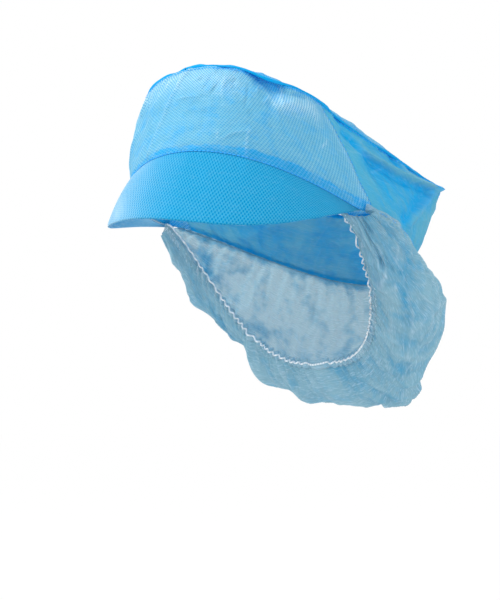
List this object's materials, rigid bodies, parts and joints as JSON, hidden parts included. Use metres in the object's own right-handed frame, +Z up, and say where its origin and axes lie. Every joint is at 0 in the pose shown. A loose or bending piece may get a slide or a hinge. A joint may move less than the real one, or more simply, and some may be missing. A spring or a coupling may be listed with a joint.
{
  "type": "peaked snood cap",
  "caption": "Soft disposable non-woven cap with a cloth peak at the front and a gathered, elasticated hair pouch at the back; open underneath for the head.",
  "frame": {"origin": "middle of the head opening, on the straight line through the two ends of the peak", "axes": "+Z up as worn, -Y forwards where the peak points, +X to the wearer's left"},
  "size_m": [0.174, 0.2503, 0.2149],
  "materials": {
    "crown_cloth": "soft satin, thin and half clear, point-bonded dimples",
    "peak_cloth": "satin, opaque in layers, point-bonded dimples",
    "interlining": "matt stiff non-woven",
    "blue_thread": "dull spun thread",
    "snood_web": "very thin web, half clear, whitish folds",
    "elastic": "covered elastic cord",
    "white_thread": "bulky white overlock thread"
  },
  "bodies": {
    "crown": {"crown_front_panel": "crown_cloth", "crown_back_panel": "crown_cloth", "crown_top_panel": "crown_cloth", "top_seam_thread": "blue_thread", "side_seam_thread_left": "blue_thread", "side_seam_thread_right": "blue_thread", "peak_seam_thread": "blue_thread", "snood_seam_thread": "blue_thread"},
    "peak": {"peak_upper_layer": "peak_cloth", "peak_interlining": "interlining", "peak_lower_layer": "peak_cloth", "peak_seam_allowance": "peak_cloth"},
    "snood": {"snood_pouch": "snood_web", "snood_heading": "snood_web", "snood_edge_casing": "snood_web", "snood_elastic": "elastic", "snood_overlock_thread": "white_thread"}
  },
  "joints": [
    {"name": "peak_tilt", "type": "hinge", "parent": "crown", "child": "peak", "pos_m": [0, 0, 0], "axis": [1, 0, 0], "range_deg": [0, 8], "stiffness_Nm_per_rad": 0.05, "springref_deg": -11.46},
    {"name": "snood_lift", "type": "hinge", "parent": "crown", "child": "snood", "pos_m": [0, 0.112, -0.041], "axis": [1, 0, 0], "range_deg": [0, 12], "stiffness_Nm_per_rad": 0.01, "springref_deg": -14.32}
  ]
}
